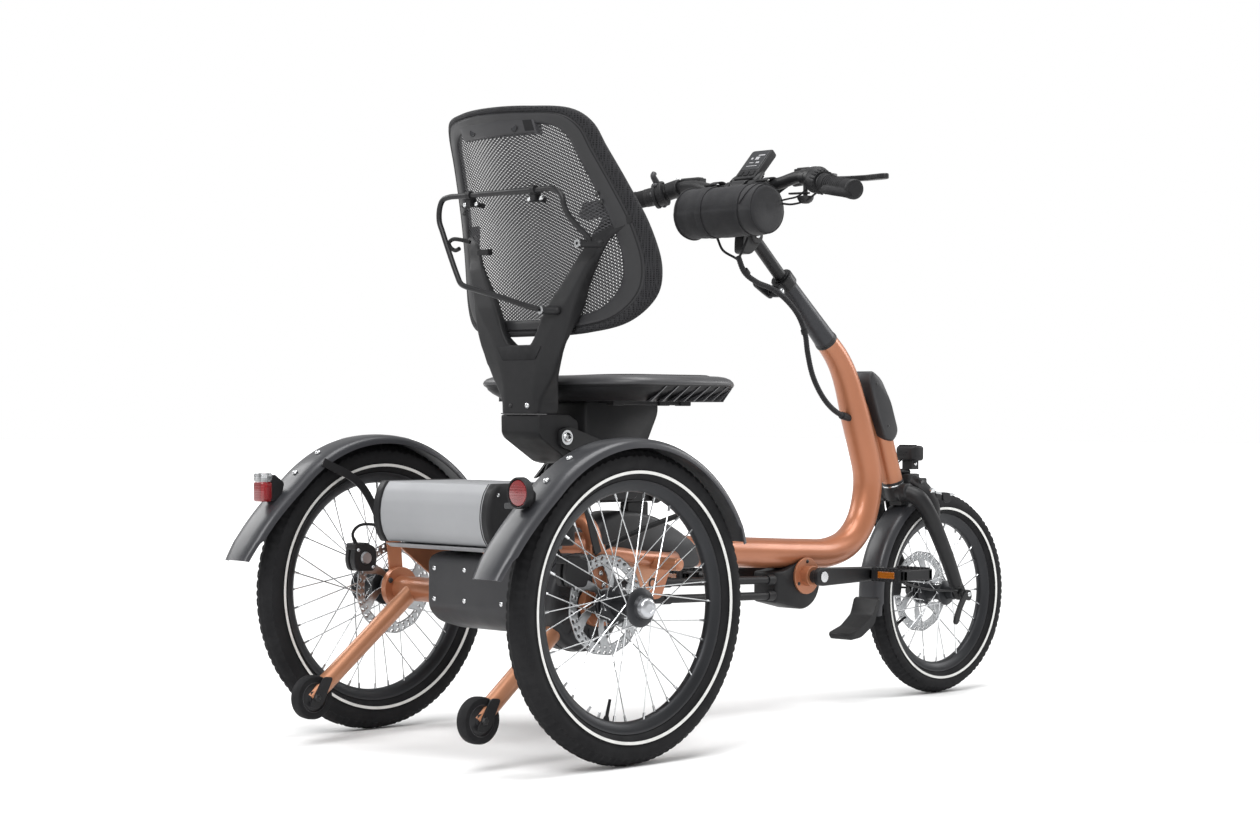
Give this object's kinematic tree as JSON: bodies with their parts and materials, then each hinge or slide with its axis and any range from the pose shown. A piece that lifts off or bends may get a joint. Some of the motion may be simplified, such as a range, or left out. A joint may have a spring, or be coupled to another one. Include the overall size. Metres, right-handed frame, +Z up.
{
  "type": "adult tricycle",
  "caption": "Electric adult tricycle with a low step-through frame, mesh seat with backrest, battery over the rear axle, mudguards and anti-tip wheels.",
  "frame": {"origin": "on the ground, under the middle of the tricycle's bounding box", "axes": "+X forward, in the direction of travel; +Y to the rider's left; +Z up"},
  "size_m": [1.6722, 0.734, 1.058],
  "materials": {
    "copper_paint": "metallic copper orange lacquer, satin gloss",
    "black_paint": "black powder coat",
    "anthracite_paint": "dark grey anodised or lacquered metal",
    "alloy": "bare machined aluminium",
    "disc_steel": "ground stainless steel brake disc",
    "bright_steel": "polished steel bolts and spokes",
    "battery_silver": "silver grey lacquer",
    "tyre_rubber": "black tyre rubber with block tread",
    "soft_rubber": "soft black rubber",
    "black_plastic": "black moulded plastic, fine grain",
    "grey_plastic": "dark grey moulded plastic, satin",
    "mudguard_plastic": "dark grey mudguard plastic, satin gloss",
    "seat_mesh": "black knitted seat mesh",
    "bag_fabric": "black woven bag cloth",
    "red_lens": "red translucent lens",
    "clear_lens": "clear lamp lens"
  },
  "bodies": {
    "frame": {"main_frame": "copper_paint", "steering_cover": "grey_plastic", "rear_frame": "copper_paint", "chain_guard": "black_plastic", "chain_tubes": "black_plastic", "drive_cover": "grey_plastic", "frame_fairing": "grey_plastic", "battery_cover": "battery_silver", "battery_case": "black_plastic", "mudguard_rear_left": "mudguard_plastic", "mudguard_rear_right": "mudguard_plastic", "tail_light": "red_lens", "reflector": "red_lens", "brake_caliper_rear_left": "black_paint", "brake_caliper_rear_right": "black_paint", "seat_rail": "black_paint", "cable_loom": "black_plastic"},
    "rear_wheel_left": {"tyre_rear_left": "tyre_rubber", "wheel_rear_left": "anthracite_paint", "brake_disc_rear_left": "disc_steel"},
    "rear_wheel_right": {"tyre_rear_right": "tyre_rubber", "wheel_rear_right": "anthracite_paint", "brake_disc_rear_right": "disc_steel"},
    "front_fork": {"fork": "anthracite_paint", "brake_caliper_front": "black_paint", "mudguard_front": "mudguard_plastic", "ring_lock": "black_plastic", "headlight": "black_plastic"},
    "front_wheel": {"tyre_front": "tyre_rubber", "wheel_front": "anthracite_paint", "brake_disc_front": "disc_steel"},
    "axle_lever": {"front_axle_lever": "alloy"},
    "column": {"steering_column": "black_paint"},
    "column_lever": {"clamp_lever": "black_paint"},
    "stem": {"stem_post": "black_paint"},
    "bar": {"handlebar": "black_paint", "brake_mount_left": "black_plastic", "brake_mount_right": "black_plastic", "grip_left": "soft_rubber", "grip_right": "soft_rubber", "display": "black_plastic", "handlebar_bag": "bag_fabric", "bell": "black_plastic"},
    "lever_left": {"brake_lever_left": "black_plastic"},
    "lever_right": {"brake_lever_right": "black_plastic"},
    "shifter": {"twist_shifter": "black_plastic"},
    "bell_striker": {"bell_lever": "alloy"},
    "seat": {"seat_carrier": "black_paint", "seat_shell": "black_plastic", "seat_pad": "seat_mesh"},
    "backrest": {"backrest_bracket": "black_paint", "backrest_yoke": "black_paint", "backrest_frame": "black_plastic", "backrest_mesh": "seat_mesh", "stick_holder": "black_paint"},
    "crank": {"crankset": "black_paint"},
    "pedal_l": {"pedal_left": "black_plastic"},
    "pedal_r": {"pedal_right": "black_plastic"},
    "tip_roller_left": {"tip_wheel_left": "soft_rubber"},
    "tip_roller_right": {"tip_wheel_right": "soft_rubber"}
  },
  "joints": [
    {"name": "rear_wheel_left_spin", "type": "hinge", "parent": "frame", "child": "rear_wheel_left", "pos_m": [-0.53427, 0.317, 0.25], "axis": [0, 1, 0], "continuous": true},
    {"name": "rear_wheel_right_spin", "type": "hinge", "parent": "frame", "child": "rear_wheel_right", "pos_m": [-0.53427, -0.317, 0.25], "axis": [0, 1, 0], "continuous": true},
    {"name": "fork_steer", "type": "hinge", "parent": "frame", "child": "front_fork", "pos_m": [0.50273, 0, 0.418], "axis": [-0.3453, 0, 0.9385], "range_deg": [-40, 40]},
    {"name": "front_wheel_spin", "type": "hinge", "parent": "front_fork", "child": "front_wheel", "pos_m": [0.63773, 0, 0.1995], "axis": [0, 1, 0], "continuous": true},
    {"name": "axle_lever_turn", "type": "hinge", "parent": "front_fork", "child": "axle_lever", "pos_m": [0.63773, -0.078, 0.1995], "axis": [0, 1, 0], "range_deg": [0, 180]},
    {"name": "handlebar_turn", "type": "hinge", "parent": "frame", "child": "column", "pos_m": [0.29873, 0, 0.695], "axis": [-0.7408, 0, 0.6717], "range_deg": [-40, 40]},
    {"name": "column_lever_flip", "type": "hinge", "parent": "column", "child": "column_lever", "pos_m": [0.16213, 0.016, 0.78106], "axis": [0, -1, 0], "range_deg": [0, 90]},
    {"name": "stem_height", "type": "slide", "parent": "column", "child": "stem", "axis": [-0.7408, 0, 0.6717], "range_m": [0, 0.05]},
    {"name": "handlebar_tilt", "type": "hinge", "parent": "stem", "child": "bar", "pos_m": [0.09205, 0, 0.88241], "axis": [0, 1, 0], "range_deg": [-10, 10]},
    {"name": "brake_lever_left_pull", "type": "hinge", "parent": "bar", "child": "lever_left", "pos_m": [0.09173, 0.186, 0.973], "axis": [0, 0, 1], "range_deg": [0, 20], "stiffness_Nm_per_rad": 1},
    {"name": "brake_lever_right_pull", "type": "hinge", "parent": "bar", "child": "lever_right", "pos_m": [0.09173, -0.186, 0.973], "axis": [0, 0, -1], "range_deg": [0, 20], "stiffness_Nm_per_rad": 1},
    {"name": "twist_shifter_turn", "type": "hinge", "parent": "bar", "child": "shifter", "pos_m": [0.05105, -0.203, 0.9666], "axis": [-0.4242, -0.8721, -0.2438], "range_deg": [-60, 60]},
    {"name": "bell_lever_press", "type": "hinge", "parent": "bar", "child": "bell_striker", "pos_m": [0.06873, -0.152, 0.95], "axis": [0, 0, 1], "range_deg": [0, 25], "stiffness_Nm_per_rad": 0.05},
    {"name": "seat_slide", "type": "slide", "parent": "frame", "child": "seat", "axis": [1, 0, 0], "range_m": [-0.05, 0.05]},
    {"name": "backrest_recline", "type": "hinge", "parent": "seat", "child": "backrest", "pos_m": [-0.42227, 0, 0.513], "axis": [0, -1, 0], "range_deg": [0, 15]},
    {"name": "crank_spin", "type": "hinge", "parent": "frame", "child": "crank", "pos_m": [0.21173, 0, 0.252], "axis": [0, 1, 0], "continuous": true},
    {"name": "pedal_left_spin", "type": "hinge", "parent": "crank", "child": "pedal_l", "pos_m": [0.04173, 0.119, 0.252], "axis": [0, 1, 0], "continuous": true},
    {"name": "pedal_right_spin", "type": "hinge", "parent": "crank", "child": "pedal_r", "pos_m": [0.38173, -0.119, 0.252], "axis": [0, 1, 0], "continuous": true},
    {"name": "tip_wheel_left_spin", "type": "hinge", "parent": "frame", "child": "tip_roller_left", "pos_m": [-0.75227, 0.211, 0.08], "axis": [0, 1, 0], "continuous": true},
    {"name": "tip_wheel_right_spin", "type": "hinge", "parent": "frame", "child": "tip_roller_right", "pos_m": [-0.75227, -0.211, 0.08], "axis": [0, 1, 0], "continuous": true}
  ],
  "couplings": [
    {"joint": "handlebar_turn", "follows": "fork_steer", "ratio": 1}
  ]
}
